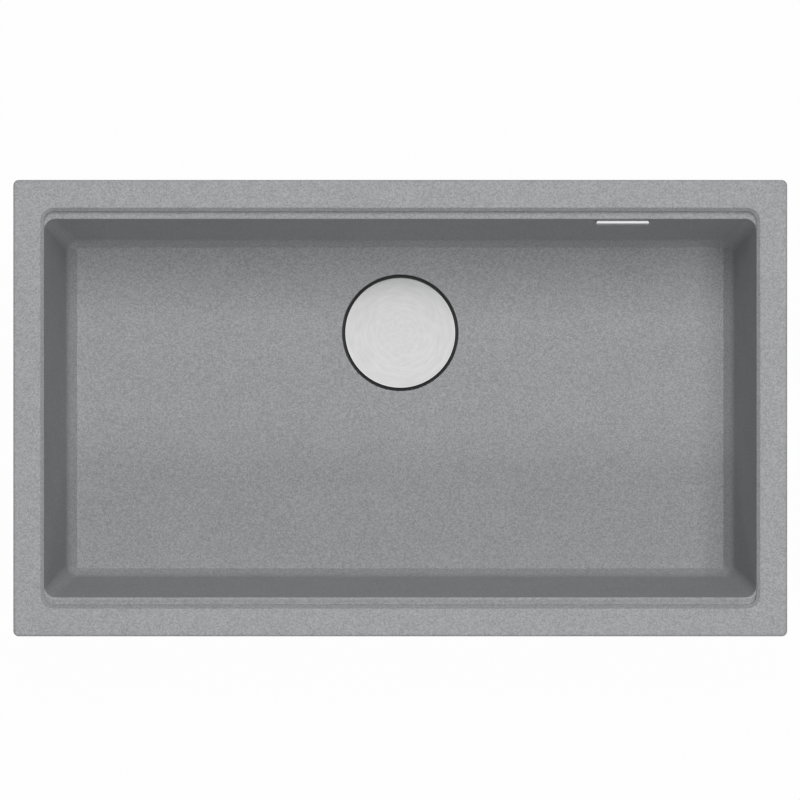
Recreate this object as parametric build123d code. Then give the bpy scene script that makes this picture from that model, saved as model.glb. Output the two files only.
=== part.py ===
from build123d import *
import os
from math import asin, atan2, cos, degrees, pi, radians, sin, tan

# Single-bowl kitchen sink cast in granite composite, with its waste and overflow fitted.
# Millimetres. The origin is the middle of the rim's underside, where the sink sits on a worktop.
# +X runs along the sink, +Y to the back wall with the overflow, +Z up out of the bowl.

# Rim and opening
RIM_LENGTH = 780.0
RIM_WIDTH = 460.0
RIM_THICKNESS = 10.0
RIM_CORNER_R = 5.5
RIM_TOP_EDGE_R = 2.5
RIM_LOWER_EDGE_R = 1.0
DECK_END = 30.75
DECK_SIDE = 31.5
OPENING_CORNER_R = 10.0
OPENING_BEVEL = 3.6
OPENING_BEVEL_DEPTH = 4.6

# Ledges along the front and back that carry boards and racks
LEDGE_DEPTH = 12.0
LEDGE_WIDTH = 7.5
LEDGE_THICKNESS = 8.0
LEDGE_EDGE = 1.2

# Bowl
BOWL_DEPTH = 210.0
END_DRAFT = 4.45
SIDE_DRAFT = 5.15
BOWL_CORNER_R = 11.0
BOWL_BEVEL = 8.5
BOWL_BEVEL_HEIGHT = 12.0
WALL = 9.0
FLOOR_THICKNESS = 10.0
FLOOR_FALL = 2.0
FLOOR_BORDER = 1.0
OUTER_CORNER_R = 18.0
OUTER_COVE_R = 15.0

# Drain in the floor
DRAIN_FROM_BACK = 113.0
WELL_R = 60.5
WELL_DEPTH = 9.0
WELL_EDGE_R = 0.5
DRAIN_HOLE_R = 45.0
DRAIN_LAND = 14.0

# Waste flange, drawn from sheet
FLANGE_SHEET = 1.2
FLANGE_GASKET = 1.5
FLANGE_GASKET_GAP = 0.3
FLANGE_R = 56.0
FLANGE_CUP_GAP = 2.0
FLANGE_CUP_DEPTH = 40.0
FLANGE_BEND_R = 4.0
FLANGE_SLOTS = 6
FLANGE_SLOT_R = 20.5
FLANGE_SLOT_WIDTH = 9.0
FLANGE_SLOT_ANGLE = 24.0

# Waste body under the floor
BODY_GASKET = 2.5
BODY_FLANGE = 4.0
BODY_SEAT = 11.0
BODY_CUP_GAP = 4.0
BODY_WALL = 3.0
BODY_CUP_DEPTH = 48.0
FUNNEL_HEIGHT = 20.0
OUTLET_R = 23.9
OUTLET_BORE_R = 20.0
OUTLET_LENGTH = 27.0
OUTLET_CHAMFER = 1.5
HUB_R = 13.0
HUB_HEIGHT = 14.5
RIB_THICKNESS = 3.0
RIB_COUNT = 4
RIB_DROP = 2.0

# Push-to-open latch: a hollow bolt that clamps flange and body, with a plunger and spring inside
LATCH_TRAVEL = 10.0
LATCH_END_GAP = 0.5
WASHER_THICKNESS = 1.0
WASHER_R = 13.0
BOLT_HEAD_R = 12.0
BOLT_HEAD = 3.0
BOLT_R = 9.0
BOLT_LENGTH = 43.0
CHAMBER_R = 6.5
GUIDE_LENGTH = 8.0
PLUNGER_R = 4.5
PLUNGER_REACH = 16.0
COLLAR_HEIGHT = 4.0
COLLAR_GAP = 0.2
PLUG_HEIGHT = 4.0
SPRING_R = 5.0
SPRING_WIRE = 1.3
SPRING_TURNS = 5
SPRING_SEAT_GAP = 0.15

# Strainer that rides on the plunger
STOPPER_R = 31.0
STOPPER_LIP = 4.0
STOPPER_LIP_HEIGHT = 7.0
STOPPER_DISC = 3.0
POST_R = 7.0
POST_FOOT_R = 11.5
POST_FOOT = 2.0
POST_TOP_GAP = 8.0
BASKET_SHEET = 0.8
BASKET_TOP_R = 38.5
BASKET_FLOOR_R = 33.5
BASKET_HEIGHT = 25.0
BASKET_RIM_WIDTH = 1.8
WALL_SLOTS = 20
WALL_SLOT_WIDTH = 3.0
WALL_SLOT_HEIGHT = 13.0
FLOOR_HOLE_R = 2.0
FLOOR_RING_RADII = (16.5, 22.5, 28.5)
FLOOR_RING_HOLES = (12, 18, 24)
NUT_ACROSS = 20.0
NUT_HEIGHT = 4.0

# Cover of the drain
COVER_GAP = 3.25
COVER_DOME = 2.0
COVER_CROWN_MARGIN = 5.0
COVER_SHEET = 1.2
COVER_EDGE_R = 1.6
COVER_SKIRT = 5.5
SOCKET_PLATE_R = 22.0
SOCKET_PLATE = 2.2
SOCKET_R = 11.0
SOCKET_DEPTH = 8.0

# Overflow in the back wall
OVERFLOW_X = 225.0
OVERFLOW_DROP = 10.0
COVER_STRIP_LENGTH = 54.5
COVER_STRIP_HEIGHT = 15.0
COVER_STRIP_THICKNESS = 3.0
COVER_STRIP_CORNER_R = 2.0
COVER_STRIP_EDGE_R = 0.6
COVER_STRIP_FOOT = 0.5
COVER_STRIP_FOOT_HEIGHT = 1.6
COVER_BOSS_R = 4.5
SLOT_LENGTH = 62.0
SLOT_HEIGHT = 10.0
HOUSING_GASKET = 2.0
HOUSING_FLANGE = 3.0
HOUSING_FLANGE_MARGIN = 5.0
HOUSING_FLANGE_LIP = 1.5
HOUSING_WALL = 2.0
HOUSING_ROOM = 1.0
HOUSING_HEIGHT = 17.0
CHUTE_HEIGHT = 16.0
SCREW_R = 2.0
SCREW_HEAD_R = 4.0
SCREW_HEAD = 2.4
SCREW_LENGTH = 14.0
SCREW_PAD = 1.0
SCREW_PAD_R = 5.5

# Overflow pipes and their compression unions
PIPE_R = 10.0
PIPE_WALL = 1.6
DROP_FROM_WALL = 13.0
RUN_DROP = 24.5
BEND_R = 24.0
UNION_DEPTH = 14.0
UNION_WALL = 2.25
UNION_NUT_WALL = 2.0
UNION_NUT_COVER = 10.0
UNION_NUT_LIP = 2.5
UNION_SEAL = 2.5
UNION_FLUTES = 10
UNION_FLUTE_R = 1.2
PORT_LENGTH = 24.0
PIPE_END_GAP = 1.0

# Clearances
RUNNING_FIT = 0.05
THREAD_FIT = 0.1
PIPE_FIT = 0.15
SEAL_FIT = 0.05
CUT = 1.0

# Heights worked out from the sizes above
rim_top_z = RIM_THICKNESS
ledge_z = rim_top_z - LEDGE_DEPTH
step_z = ledge_z - LEDGE_THICKNESS
floor_z = rim_top_z - BOWL_DEPTH
drain_z = floor_z - FLOOR_FALL
underside_z = drain_z - FLOOR_THICKNESS
well_z = drain_z - WELL_DEPTH
boss_z = underside_z - WELL_DEPTH

flange_seat_z = well_z + FLANGE_GASKET
flange_top_z = flange_seat_z + FLANGE_SHEET
flange_floor_z = flange_top_z - FLANGE_CUP_DEPTH
flange_base_z = flange_floor_z - FLANGE_SHEET
flange_cup_r = DRAIN_HOLE_R - FLANGE_CUP_GAP

body_top_z = boss_z - BODY_GASKET
body_cup_r = flange_cup_r + BODY_CUP_GAP
body_flange_r = body_cup_r + BODY_SEAT
funnel_top_z = body_top_z - BODY_FLANGE - BODY_CUP_DEPTH
outlet_top_z = funnel_top_z - FUNNEL_HEIGHT
outlet_z = outlet_top_z - OUTLET_LENGTH
run_z = body_top_z - BODY_FLANGE - RUN_DROP

bolt_seat_z = flange_floor_z + WASHER_THICKNESS
bolt_top_z = bolt_seat_z + BOLT_HEAD
bolt_end_z = bolt_seat_z - BOLT_LENGTH
guide_end_z = bolt_top_z - GUIDE_LENGTH
plunger_top_z = bolt_top_z + PLUNGER_REACH
collar_top_z = guide_end_z - LATCH_TRAVEL - LATCH_END_GAP
collar_z = collar_top_z - COLLAR_HEIGHT
plug_top_z = bolt_end_z + PLUG_HEIGHT

stopper_z = flange_floor_z + STOPPER_LIP_HEIGHT
basket_base_z = stopper_z + STOPPER_DISC
basket_floor_z = basket_base_z + BASKET_SHEET
basket_top_z = basket_base_z + BASKET_HEIGHT
post_foot_z = stopper_z - POST_FOOT
post_top_z = drain_z - POST_TOP_GAP

cover_r = WELL_R - COVER_GAP
crown_r = SOCKET_PLATE_R + COVER_CROWN_MARGIN
crown_z = drain_z + COVER_DOME
dome_r = ((cover_r - crown_r) ** 2 + COVER_DOME**2) / (2 * COVER_DOME)

opening_length = RIM_LENGTH - 2 * DECK_END
opening_width = RIM_WIDTH - 2 * DECK_SIDE
bowl_length = opening_length
bowl_width = opening_width - 2 * LEDGE_WIDTH
drain_y = bowl_width / 2 - DRAIN_FROM_BACK
side_slope = tan(radians(SIDE_DRAFT))
end_slope = tan(radians(END_DRAFT))
outer_side = WALL / cos(radians(SIDE_DRAFT))
outer_end = WALL / cos(radians(END_DRAFT))

overflow_z = ledge_z - OVERFLOW_DROP - COVER_STRIP_HEIGHT / 2
overflow_wall_y = bowl_width / 2 - (ledge_z - overflow_z) * side_slope
# The overflow's own plane lies on the back wall: x along the sink, y up the wall, z into the bowl.
overflow_plane = Plane(
    origin=(OVERFLOW_X, overflow_wall_y, overflow_z),
    x_dir=(1, 0, 0),
    z_dir=(0, -cos(radians(SIDE_DRAFT)), sin(radians(SIDE_DRAFT))),
)
union_r = PIPE_R + UNION_WALL
union_nut_r = union_r + THREAD_FIT + UNION_NUT_WALL
pipe_bore_r = PIPE_R - PIPE_WALL
drop_y = overflow_wall_y + WALL + DROP_FROM_WALL
housing_top_z = overflow_z + SLOT_HEIGHT / 2 + HOUSING_ROOM + HOUSING_WALL
housing_base_z = housing_top_z - HOUSING_HEIGHT
housing_mouth_z = housing_base_z - CHUTE_HEIGHT - UNION_DEPTH
run_x, run_y = OVERFLOW_X, drop_y - drain_y
run_angle = degrees(atan2(run_y, run_x))
port_mouth = body_cup_r + BODY_WALL + PORT_LENGTH
bend_reach = BEND_R + UNION_DEPTH

BASE = (Align.CENTER, Align.CENTER, Align.MIN)


def rod(radius, low, high):
    """Upright cylinder about the Z axis between two heights."""
    return Pos(0, 0, low) * Cylinder(radius, high - low, align=BASE)


def collar(outer, inner, low, high):
    """Upright ring about the Z axis between two heights."""
    return rod(outer, low, high) - rod(inner, low - CUT, high + CUT)


def turned(points):
    """Solid turned about the Z axis from a closed outline of radius and height."""
    return revolve(Plane.XZ * make_face(Polyline(*points, close=True)), Axis.Z)


def drawn(points, bend, sheet):
    """Sheet drawn to a turned shape, from the radius and height of its middle line."""
    return revolve(Plane.XZ * trace(FilletPolyline(*points, radius=bend), sheet), Axis.Z)


def slab(length, width, corner, low, high):
    """Upright slab with a rounded rectangle for its outline."""
    return extrude(Plane.XY.offset(low) * RectangleRounded(length, width, corner), high - low)


def drafted(length, width, top, base, corner, side_in):
    """Block that narrows downwards, its sides by side_in, with its sizes at the top and round corners."""
    height = top - base
    end_in = height * end_slope
    front = Polyline(
        (-length / 2, top),
        (length / 2, top),
        (length / 2 - end_in, base),
        (end_in - length / 2, base),
        close=True,
    )
    side = Polyline(
        (-width / 2, top),
        (width / 2, top),
        (width / 2 - side_in, base),
        (side_in - width / 2, base),
        close=True,
    )
    block = extrude(Plane.XZ * make_face(front), width, both=True)
    block &= extrude(Plane.YZ * make_face(side), length, both=True)
    corners = [edge for edge in block.edges() if abs((edge @ 1 - edge @ 0).Z) > height / 2]
    return fillet(corners, corner)


def base_face(block):
    """The lowest face of a block."""
    return block.faces().sort_by(Axis.Z)[0]


def floor_fall():
    """Shallow hopper from the edge of the bowl's flat floor down to the rim of the drain's well."""
    height = ledge_z - floor_z
    inset = BOWL_BEVEL + FLOOR_BORDER
    half_x = bowl_length / 2 - height * end_slope - inset
    half_y = bowl_width / 2 - height * side_slope - inset
    corners = [(half_x, half_y), (-half_x, half_y), (-half_x, -half_y), (half_x, -half_y)]
    angles = [atan2(y - drain_y, x) for x, y in corners]
    angles = [angle + 2 * pi if angle < angles[0] else angle for angle in angles]
    angles.append(angles[0] + 2 * pi)
    arcs = [
        CenterArc((0, drain_y), WELL_R + WELL_EDGE_R, degrees(start), degrees(end - start))
        for start, end in zip(angles, angles[1:])
    ]
    upper = Plane.XY.offset(floor_z) * make_face(Polyline(*corners, close=True))
    lower = Plane.XY.offset(drain_z) * make_face(arcs)
    return loft([upper, lower], ruled=True)


def ledge_bevel():
    """Bevel that breaks the inner edge of both ledges and runs out at the ends of the bowl."""
    base_z = ledge_z - LEDGE_EDGE
    base_length = bowl_length - 2 * LEDGE_EDGE * end_slope
    base_width = bowl_width - 2 * LEDGE_EDGE * side_slope
    top = Pos(0, 0, ledge_z) * RectangleRounded(bowl_length, bowl_width + 2 * LEDGE_EDGE, BOWL_CORNER_R)
    base = Pos(0, 0, base_z) * RectangleRounded(base_length, base_width, BOWL_CORNER_R)
    return loft([top, base], ruled=True)


def drain_well():
    """Round recess for the waste, with the rounding of its upper edge."""
    flare = WELL_R + WELL_EDGE_R
    inset = WELL_EDGE_R * cos(radians(45))
    outline = [
        Polyline((0, well_z), (0, drain_z + CUT), (flare, drain_z + CUT), (flare, drain_z)),
        ThreePointArc(
            (flare, drain_z),
            (flare - inset, drain_z - WELL_EDGE_R + inset),
            (WELL_R, drain_z - WELL_EDGE_R),
        ),
        Polyline((WELL_R, drain_z - WELL_EDGE_R), (WELL_R, well_z), (0, well_z)),
    ]
    return revolve(Plane.XZ * make_face(outline), Axis.Z)


def sink_bowl():
    """The casting: rim, ledges, drafted bowl, floor that falls to the drain, and overflow slot."""
    rim = slab(RIM_LENGTH, RIM_WIDTH, RIM_CORNER_R, 0, rim_top_z)
    rim = fillet(rim.faces().sort_by(Axis.Z)[-1].edges(), RIM_TOP_EDGE_R)
    rim = fillet(rim.faces().sort_by(Axis.Z)[0].edges(), RIM_LOWER_EDGE_R)
    collar_length = opening_length + 2 * outer_end
    collar_width = opening_width + 2 * outer_side
    upper = slab(collar_length, collar_width, OUTER_CORNER_R, step_z, RIM_LOWER_EDGE_R)
    outer_in = (step_z - underside_z) * side_slope
    outer_width = bowl_width + 2 * (outer_side - LEDGE_THICKNESS * side_slope)
    outer = drafted(collar_length, outer_width, step_z, underside_z, OUTER_CORNER_R, outer_in)
    outer = fillet(base_face(outer).outer_wire().edges(), OUTER_COVE_R)
    boss = Pos(0, drain_y, 0) * rod(WELL_R + DRAIN_LAND, boss_z, drain_z)
    opening = slab(opening_length, opening_width, OPENING_CORNER_R, ledge_z, rim_top_z + CUT)
    bowl_in = (ledge_z - floor_z) * side_slope
    bowl = drafted(bowl_length, bowl_width, ledge_z, floor_z, BOWL_CORNER_R, bowl_in)
    floor = base_face(bowl)
    bowl = chamfer(floor.outer_wire().edges(), BOWL_BEVEL, BOWL_BEVEL_HEIGHT, reference=floor)
    body = rim + upper + outer + boss - opening
    body = body - bowl - ledge_bevel() - floor_fall()
    deck = body.faces().sort_by(Axis.Z)[-1]
    mouth = deck.inner_wires()[0]
    body = chamfer(mouth.edges(), OPENING_BEVEL, OPENING_BEVEL_DEPTH, reference=deck)
    body -= Pos(0, drain_y, 0) * drain_well()
    body -= Pos(0, drain_y, 0) * rod(DRAIN_HOLE_R, boss_z - CUT, drain_z)
    slot = overflow_plane * SlotOverall(SLOT_LENGTH, SLOT_HEIGHT)
    return body - extrude(slot, WALL + CUT, both=True)


def waste_flange():
    """Drawn steel flange: rim on its gasket, cup through the floor, slots round the clamping bolt."""
    half = FLANGE_SHEET / 2
    shell = drawn(
        [
            (FLANGE_R, flange_top_z - half),
            (flange_cup_r - half, flange_top_z - half),
            (flange_cup_r - half, flange_floor_z - half),
            (BOLT_R + THREAD_FIT, flange_floor_z - half),
        ],
        FLANGE_BEND_R,
        FLANGE_SHEET,
    )
    slot = Plane.XY.offset(flange_floor_z) * SlotArc(
        CenterArc((0, 0), FLANGE_SLOT_R, -FLANGE_SLOT_ANGLE / 2, FLANGE_SLOT_ANGLE), FLANGE_SLOT_WIDTH
    )
    cut = extrude(slot, FLANGE_SHEET + CUT, both=True)
    return shell - PolarLocations(0, FLANGE_SLOTS) * cut


def flange_gasket():
    """Flat rubber ring under the flange, wide enough to show in the gap round the cover."""
    return collar(WELL_R - FLANGE_GASKET_GAP, flange_cup_r + FLANGE_BEND_R, well_z, flange_seat_z)


def body_gasket():
    """Flat rubber ring between the sink's underside and the waste body."""
    return collar(body_flange_r, body_cup_r, body_top_z, boss_z)


def waste_body():
    """Moulded cup with a spider for the bolt, a side port for the overflow and a threaded outlet."""
    outer = body_cup_r + BODY_WALL
    shell = turned(
        [
            (body_cup_r, body_top_z),
            (body_flange_r, body_top_z),
            (body_flange_r, body_top_z - BODY_FLANGE),
            (outer, body_top_z - BODY_FLANGE),
            (outer, funnel_top_z),
            (OUTLET_R, outlet_top_z),
            (OUTLET_R, outlet_z + OUTLET_CHAMFER),
            (OUTLET_R - OUTLET_CHAMFER, outlet_z),
            (OUTLET_BORE_R, outlet_z),
            (OUTLET_BORE_R, outlet_top_z),
            (body_cup_r, funnel_top_z),
        ]
    )
    axis = Pos(0, 0, run_z) * Rot(0, 0, run_angle) * Rot(0, 90, 0)
    shell += axis * rod(union_r, body_cup_r + BODY_WALL / 2, port_mouth)
    shell -= axis * rod(pipe_bore_r, body_cup_r - CUT, port_mouth)
    shell -= axis * rod(PIPE_R + PIPE_FIT, port_mouth - UNION_DEPTH, port_mouth + CUT)
    rib_length = outer - BODY_WALL / 2 - BOLT_R
    rib = Pos(BOLT_R + rib_length / 2, 0, flange_base_z - HUB_HEIGHT) * Box(
        rib_length, RIB_THICKNESS, HUB_HEIGHT - RIB_DROP, align=BASE
    )
    half_pitch = 360 / RIB_COUNT / 2
    spider = rod(HUB_R, flange_base_z - HUB_HEIGHT, flange_base_z)
    spider += PolarLocations(0, RIB_COUNT, run_angle + half_pitch) * rib
    spider -= rod(BOLT_R + THREAD_FIT, flange_base_z - HUB_HEIGHT - CUT, flange_base_z + CUT)
    return shell + spider


def latch_washer():
    """Sealing washer under the head of the clamping bolt."""
    return collar(WASHER_R, BOLT_R + THREAD_FIT, flange_floor_z, bolt_seat_z)


def latch_bolt():
    """Hollow brass bolt that clamps flange to body, guides the plunger and holds the spring."""
    bolt = rod(BOLT_HEAD_R, bolt_seat_z, bolt_top_z) + rod(BOLT_R, bolt_end_z, bolt_seat_z)
    bolt -= rod(PLUNGER_R + RUNNING_FIT, guide_end_z - CUT, bolt_top_z + CUT)
    return bolt - rod(CHAMBER_R, bolt_end_z - CUT, guide_end_z)


def latch_plug():
    """Plug that closes the foot of the bolt and carries the spring."""
    return rod(CHAMBER_R - RUNNING_FIT, bolt_end_z, plug_top_z)


def latch_plunger():
    """Rod that clicks up and down in the bolt, with the collar that stops it."""
    return rod(PLUNGER_R, collar_z, plunger_top_z) + rod(CHAMBER_R - COLLAR_GAP, collar_z, collar_top_z)


def latch_spring():
    """Square-wire spring between the plug and the plunger's collar."""
    low = plug_top_z + SPRING_WIRE / 2 + SPRING_SEAT_GAP
    high = collar_z - SPRING_WIRE / 2 - SPRING_SEAT_GAP
    pitch = (high - low) / SPRING_TURNS
    print("spring gap between turns", round(pitch - SPRING_WIRE, 2))
    path = Pos(0, 0, low) * Helix(pitch, high - low, SPRING_R)
    wire = Plane(path @ 0, x_dir=(1, 0, 0), z_dir=path % 0) * Rectangle(SPRING_WIRE, SPRING_WIRE)
    return sweep(wire, path, is_frenet=True)


def basket_stopper():
    """Rubber disc whose lip closes the flange's slots while the latch is down."""
    return turned(
        [
            (POST_R + THREAD_FIT, stopper_z),
            (STOPPER_R - STOPPER_LIP, stopper_z),
            (STOPPER_R - STOPPER_LIP, flange_floor_z),
            (STOPPER_R, flange_floor_z),
            (STOPPER_R, basket_base_z),
            (POST_R + THREAD_FIT, basket_base_z),
        ]
    )


def basket_post():
    """Turned post: foot under the stopper, socket for the plunger, top end for the cover."""
    post = rod(POST_FOOT_R, post_foot_z, stopper_z) + rod(POST_R, stopper_z, post_top_z)
    return post - rod(PLUNGER_R + RUNNING_FIT, post_foot_z - CUT, plunger_top_z)


def basket_nut():
    """Hexagon nut on the post that clamps basket and stopper against its foot."""
    outline = Plane.XY.offset(basket_floor_z) * RegularPolygon(NUT_ACROSS / 2, 6, major_radius=False)
    nut = extrude(outline, NUT_HEIGHT)
    return nut - rod(POST_R + THREAD_FIT, basket_floor_z - CUT, basket_floor_z + NUT_HEIGHT + CUT)


def strainer_basket():
    """Pressed cup with a turned-out rim, upright slots in its wall and rings of holes in its floor."""
    half = BASKET_SHEET / 2
    cup = drawn(
        [
            (BASKET_TOP_R + BASKET_RIM_WIDTH, basket_top_z - half),
            (BASKET_TOP_R - half, basket_top_z - half),
            (BASKET_FLOOR_R - half, basket_base_z + half),
            (POST_R + THREAD_FIT, basket_base_z + half),
        ],
        BASKET_RIM_WIDTH / 2,
        BASKET_SHEET,
    )
    slot = Pos(0, 0, (basket_base_z + basket_top_z) / 2) * Plane.YZ * SlotOverall(
        WALL_SLOT_HEIGHT, WALL_SLOT_WIDTH, rotation=90
    )
    cup -= PolarLocations(0, WALL_SLOTS) * extrude(slot, BASKET_TOP_R + CUT)
    hole = rod(FLOOR_HOLE_R, basket_base_z - CUT, basket_floor_z + CUT)
    for ring_r, count in zip(FLOOR_RING_RADII, FLOOR_RING_HOLES):
        cup -= PolarLocations(ring_r, count) * hole
    return cup


def dome_arc(radius, sheet):
    """Arc of the cover's face from the flat crown out to a radius, sheet below the outer face."""
    bend_r = dome_r - sheet
    return CenterArc((crown_r, crown_z - dome_r), bend_r, 90, -degrees(asin((radius - crown_r) / bend_r)))


def drain_cover():
    """Crowned steel cover with a turned-down skirt, flush with the floor round the well."""
    top = dome_arc(cover_r, 0)
    under = dome_arc(cover_r - COVER_SHEET, COVER_SHEET)
    foot_z = drain_z - COVER_SKIRT
    skirt = Polyline(top @ 1, (cover_r, foot_z), (cover_r - COVER_SHEET, foot_z), under @ 1)
    crown = Polyline(top @ 0, (0, crown_z), (0, crown_z - COVER_SHEET), under @ 0)
    face = make_face([top, skirt, under, crown])
    rim = face.vertices().sort_by_distance(top @ 1)[0]
    return revolve(Plane.XZ * fillet(rim, COVER_EDGE_R), Axis.Z)


def cover_socket():
    """Moulded socket under the cover that plugs onto the strainer's post."""
    top_z = crown_z - COVER_SHEET
    bore_r = POST_R + RUNNING_FIT
    foot_z = post_top_z - SOCKET_DEPTH
    plate_z = drain_z - COVER_SHEET - SOCKET_PLATE
    outline = Polyline(
        (0, top_z),
        (SOCKET_PLATE_R, top_z),
        (SOCKET_PLATE_R, plate_z),
        (SOCKET_R, plate_z),
        (SOCKET_R, foot_z),
        (bore_r, foot_z),
        (bore_r, post_top_z),
        (0, post_top_z),
        close=True,
    )
    return revolve(Plane.XZ * make_face(outline), Axis.Z)


def overflow_cover():
    """Chrome strip in front of the slot, with feet on the wall and a boss for the screw behind."""
    outline = overflow_plane.offset(COVER_STRIP_FOOT) * RectangleRounded(
        COVER_STRIP_LENGTH, COVER_STRIP_HEIGHT, COVER_STRIP_CORNER_R
    )
    strip = extrude(outline, COVER_STRIP_THICKNESS)
    front = strip.faces().sort_by(Axis(overflow_plane.origin, overflow_plane.z_dir))[-1]
    strip = fillet(front.edges(), COVER_STRIP_EDGE_R)
    foot_length = COVER_STRIP_LENGTH - 2 * COVER_STRIP_CORNER_R
    foot_y = (COVER_STRIP_HEIGHT - COVER_STRIP_FOOT_HEIGHT) / 2
    for side in (1, -1):
        foot = overflow_plane * Pos(0, side * foot_y) * Rectangle(foot_length, COVER_STRIP_FOOT_HEIGHT)
        strip += extrude(foot, COVER_STRIP_FOOT)
    boss_length = housing_depth() - HOUSING_WALL - SCREW_PAD
    boss = extrude(overflow_plane * Circle(COVER_BOSS_R), -boss_length)
    boss += extrude(overflow_plane * Circle(COVER_BOSS_R), COVER_STRIP_FOOT)
    bore = extrude(overflow_plane.offset(-boss_length) * Circle(SCREW_R + THREAD_FIT), SCREW_LENGTH)
    return strip + boss - bore


def housing_depth():
    """Distance from the bowl's inner wall to the back of the overflow housing."""
    return (drop_y + union_r - overflow_wall_y) / cos(radians(SIDE_DRAFT))


def overflow_gasket():
    """Rubber ring between the back of the bowl and the overflow housing."""
    ring = housing_flange_outline(overflow_plane.offset(-WALL - HOUSING_GASKET))
    ring -= overflow_plane.offset(-WALL - HOUSING_GASKET) * SlotOverall(SLOT_LENGTH, SLOT_HEIGHT)
    return extrude(ring, HOUSING_GASKET)


def housing_flange_outline(plane):
    """Outline of the overflow housing's flange on a plane along the wall."""
    height = SLOT_HEIGHT + 2 * (HOUSING_ROOM + HOUSING_WALL) + 2 * HOUSING_FLANGE_LIP
    length = SLOT_LENGTH + 2 * (HOUSING_ROOM + HOUSING_WALL + HOUSING_FLANGE_MARGIN)
    return plane * RectangleRounded(length, height, HOUSING_FLANGE_MARGIN)


def overflow_housing():
    """Moulded box behind the wall that gathers the overflow into a union for the drop pipe."""
    back_y = drop_y + union_r
    front_y = overflow_wall_y + WALL + HOUSING_GASKET + HOUSING_FLANGE
    middle_y = (front_y + back_y) / 2
    room_x = SLOT_LENGTH + 2 * HOUSING_ROOM
    room_y = back_y - front_y - 2 * HOUSING_WALL
    skin = 2 * HOUSING_WALL
    flange_plane = overflow_plane.offset(-WALL - HOUSING_GASKET)
    centre = Pos(OVERFLOW_X, middle_y, housing_base_z)
    shell = centre * Box(room_x + skin, room_y + skin, HOUSING_HEIGHT, align=BASE)
    shell += extrude(housing_flange_outline(flange_plane), -HOUSING_FLANGE)
    neck = SLOT_HEIGHT + 2 * HOUSING_ROOM
    shell += extrude(flange_plane * Rectangle(room_x + skin, neck + skin), -HOUSING_FLANGE - skin)
    mouth_top_z = housing_base_z - CHUTE_HEIGHT
    socket = Pos(OVERFLOW_X, drop_y, 0)
    shell += loft(
        [
            Pos(OVERFLOW_X, middle_y, housing_base_z) * Rectangle(room_x + skin, room_y + skin),
            Pos(OVERFLOW_X, drop_y, mouth_top_z) * Circle(union_r),
        ]
    )
    shell += socket * rod(union_r, housing_mouth_z, mouth_top_z)
    shell -= centre * Box(room_x, room_y, HOUSING_HEIGHT - HOUSING_WALL, align=BASE)
    shell -= loft(
        [
            Pos(OVERFLOW_X, middle_y, housing_base_z) * Rectangle(room_x, room_y),
            Pos(OVERFLOW_X, drop_y, mouth_top_z) * Circle(pipe_bore_r),
        ]
    )
    shell -= socket * rod(pipe_bore_r, housing_mouth_z, mouth_top_z)
    shell -= socket * rod(PIPE_R + PIPE_FIT, housing_mouth_z - CUT, housing_mouth_z + UNION_DEPTH)
    slot = extrude(flange_plane.offset(CUT) * SlotOverall(SLOT_LENGTH, SLOT_HEIGHT), -HOUSING_FLANGE - skin)
    pad = overflow_plane.offset(-housing_depth() - SCREW_PAD) * Circle(SCREW_PAD_R)
    shell += extrude(pad, HOUSING_WALL + 2 * SCREW_PAD)
    hole = extrude(overflow_plane * Circle(SCREW_R + THREAD_FIT), -housing_depth() - SCREW_PAD - CUT)
    return shell - slot - hole


def overflow_screw():
    """Screw from behind the housing into the boss of the cover strip."""
    seat = overflow_plane.offset(-housing_depth() - SCREW_PAD)
    shank = extrude(seat * Circle(SCREW_R), SCREW_LENGTH)
    return shank + extrude(seat * Circle(SCREW_HEAD_R), -SCREW_HEAD)


def tube(start, end):
    """Straight overflow pipe between two points."""
    path = Line(start, end)
    plane = Plane(path @ 0, z_dir=path % 0)
    return extrude(plane * Circle(PIPE_R) - plane * Circle(pipe_bore_r), path.length)


def union_planes():
    """Mouth of each compression union, with its z pointing out along the pipe."""
    towards = Vector(run_x, run_y, 0).normalized()
    corner = Vector(OVERFLOW_X, drop_y, run_z)
    port = Vector(0, drain_y, run_z) + towards * port_mouth
    return {
        "housing": Plane((OVERFLOW_X, drop_y, housing_mouth_z), z_dir=(0, 0, -1)),
        "bend_top": Plane(corner + Vector(0, 0, bend_reach), z_dir=(0, 0, 1)),
        "bend_side": Plane(corner - towards * bend_reach, z_dir=-towards),
        "port": Plane(port, z_dir=towards),
    }


def overflow_drop_pipe():
    """Upright pipe from the housing to the bend."""
    planes = union_planes()
    depth = UNION_DEPTH - PIPE_END_GAP
    return tube(
        planes["housing"].offset(-depth).origin,
        planes["bend_top"].offset(-depth).origin,
    )


def overflow_run_pipe():
    """Level pipe from the bend to the waste body's port."""
    planes = union_planes()
    depth = UNION_DEPTH - PIPE_END_GAP
    return tube(planes["bend_side"].offset(-depth).origin, planes["port"].offset(-depth).origin)


def overflow_bend():
    """Quarter bend with a union at each end."""
    planes = union_planes()
    top, side = planes["bend_top"], planes["bend_side"]
    route = FilletPolyline(top.origin, (OVERFLOW_X, drop_y, run_z), side.origin, radius=BEND_R)
    start = Plane(top.origin, z_dir=(0, 0, -1))
    bend = sweep(start * Circle(union_r), route) - sweep(start * Circle(pipe_bore_r), route)
    for plane in (top, side):
        bend -= extrude(plane.offset(CUT) * Circle(PIPE_R + PIPE_FIT), -UNION_DEPTH - CUT)
    return bend


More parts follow.
